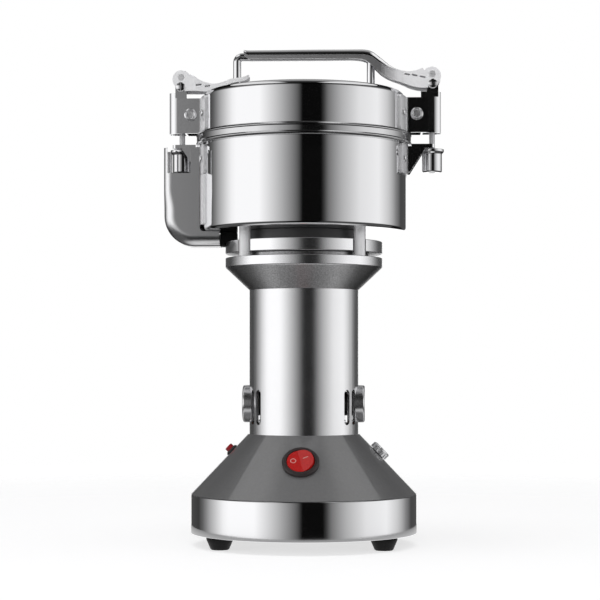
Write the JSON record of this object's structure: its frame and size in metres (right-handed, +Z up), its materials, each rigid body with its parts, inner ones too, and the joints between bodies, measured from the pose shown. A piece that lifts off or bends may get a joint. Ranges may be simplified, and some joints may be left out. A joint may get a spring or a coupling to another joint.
{
  "type": "industrial grinding mill",
  "caption": "Upright powder grinding mill: round weighted base with a cone, tubular motor column, cast neck, polished bowl and lid with a rod handle and a lever clamp on each side.",
  "frame": {"origin": "on the table plane, at the middle of the object's outline, within half a millimetre of the motor shaft's axis", "axes": "+Z up along the motor shaft, +X towards the long clamp lever, -Y towards the power switch"},
  "size_m": [0.2114, 0.174, 0.3755],
  "materials": {
    "polished_steel": "mirror-polished stainless steel",
    "satin_steel": "satin stainless steel",
    "grey_satin": "bead-blasted stainless steel",
    "plain_steel": "machined steel",
    "chrome": "bright plated or polished steel",
    "grey_paint": "mid-grey enamel with a soft sheen",
    "cast_grey": "cast aluminium, tumbled",
    "black_plastic": "matt black moulding",
    "red_plastic": "red moulding, lightly glossy",
    "black_rubber": "black rubber",
    "copper_winding": "enamelled copper",
    "carbon": "pressed carbon"
  },
  "bodies": {
    "stand": {"base_rim": "polished_steel", "base_cone": "grey_paint", "base_plate": "grey_paint", "rubber_feet": "black_rubber", "foot_screws": "plain_steel", "cord_gland": "black_rubber", "motor_housing": "satin_steel", "brush_covers": "satin_steel", "brush_holders": "black_plastic", "carbon_brushes": "carbon", "brush_springs": "plain_steel", "stator_core": "plain_steel", "field_coils": "copper_winding", "bearing_bracket": "plain_steel", "lower_bearing": "plain_steel", "upper_bearing": "plain_steel", "neck_casting": "cast_grey", "pillars": "chrome", "bowl": "polished_steel", "bowl_ring": "polished_steel", "bowl_screws": "plain_steel", "shaft_seal": "black_rubber", "bowl_bracket_right": "chrome", "bowl_bracket_left": "chrome", "bowl_bracket_rivets": "chrome", "interlock_housing": "grey_satin", "housing_strips": "polished_steel", "interlock_switch": "black_plastic", "cable_grommet": "black_rubber", "switch_bezel": "black_plastic", "reset_body": "black_plastic", "fuse_body": "black_plastic"},
    "rotor": {"shaft": "plain_steel", "armature": "copper_winding", "commutator": "copper_winding", "cooling_fan": "black_plastic", "blade_spacers": "plain_steel", "lower_blade": "plain_steel", "upper_blade": "plain_steel", "blade_nut": "chrome"},
    "rocker": {"switch_rocker": "red_plastic"},
    "reset": {"reset_button": "red_plastic"},
    "fuse_cap_body": {"fuse_cap": "chrome"},
    "lid": {"lid_shell": "polished_steel", "lid_gasket": "black_rubber", "bail_handle": "chrome", "lid_bracket_right": "chrome", "lid_bracket_left": "chrome", "lid_bracket_rivets": "chrome", "arm_rivets": "chrome"},
    "arm_right": {"clamp_arm_right": "chrome", "lever_pins_right": "chrome"},
    "lever_body_right": {"lever_right": "chrome"},
    "bolt_right": {"draw_bolt_right": "chrome"},
    "nut_right": {"barrel_nut_right": "chrome"},
    "arm_left": {"clamp_arm_left": "chrome", "lever_pins_left": "chrome"},
    "lever_body_left": {"lever_left": "chrome"},
    "bolt_left": {"draw_bolt_left": "chrome"},
    "nut_left": {"barrel_nut_left": "chrome"}
  },
  "joints": [
    {"name": "rotor_spin", "type": "hinge", "parent": "stand", "child": "rotor", "pos_m": [0, 0, 0.2], "axis": [0, 0, 1], "continuous": true},
    {"name": "rocker_tilt", "type": "hinge", "parent": "stand", "child": "rocker", "pos_m": [0, -0.06129, 0.06569], "axis": [-0.225, 0.6717, 0.7059], "range_deg": [0, 16]},
    {"name": "reset_press", "type": "slide", "parent": "stand", "child": "reset", "axis": [0.7244, 0, -0.6893], "range_m": [0, 0.0025], "stiffness_N_per_m": 200},
    {"name": "fuse_cap_twist", "type": "hinge", "parent": "stand", "child": "fuse_cap_body", "pos_m": [0.056, 0, 0.0698], "axis": [0.7244, 0, 0.6893], "range_deg": [0, 90]},
    {"name": "lid_lift", "type": "slide", "parent": "stand", "child": "lid", "axis": [0, 0, 1], "range_m": [0, 0.17]},
    {"name": "arm_right_swing", "type": "hinge", "parent": "lid", "child": "arm_right", "pos_m": [0.0855, 0, 0.3255], "axis": [0, -1, 0], "range_deg": [0, 14]},
    {"name": "lever_right_open", "type": "hinge", "parent": "arm_right", "child": "lever_body_right", "pos_m": [0.0975, 0, 0.3485], "axis": [0, 1, 0], "range_deg": [0, 95]},
    {"name": "bolt_right_hinge", "type": "hinge", "parent": "lever_body_right", "child": "bolt_right", "pos_m": [0.09713, 0, 0.35549], "axis": [0, 1, 0], "range_deg": [-95, 0]},
    {"name": "nut_right_turn", "type": "hinge", "parent": "bolt_right", "child": "nut_right", "pos_m": [0.09713, 0, 0.29], "axis": [0, 0, 1], "continuous": true},
    {"name": "arm_left_swing", "type": "hinge", "parent": "lid", "child": "arm_left", "pos_m": [-0.0855, 0, 0.3255], "axis": [0, 1, 0], "range_deg": [0, 14]},
    {"name": "lever_left_open", "type": "hinge", "parent": "arm_left", "child": "lever_body_left", "pos_m": [-0.093, 0, 0.347], "axis": [0, -1, 0], "range_deg": [0, 95]},
    {"name": "bolt_left_hinge", "type": "hinge", "parent": "lever_body_left", "child": "bolt_left", "pos_m": [-0.09263, 0, 0.35399], "axis": [0, -1, 0], "range_deg": [-95, 0]},
    {"name": "nut_left_turn", "type": "hinge", "parent": "bolt_left", "child": "nut_left", "pos_m": [-0.09263, 0, 0.29], "axis": [0, 0, 1], "continuous": true}
  ],
  "couplings": [
    {"joint": "arm_right_swing", "follows": "lever_right_open", "ratio": 0.14},
    {"joint": "bolt_right_hinge", "follows": "lever_right_open", "ratio": -1},
    {"joint": "arm_left_swing", "follows": "lever_left_open", "ratio": 0.14},
    {"joint": "bolt_left_hinge", "follows": "lever_left_open", "ratio": -1}
  ]
}
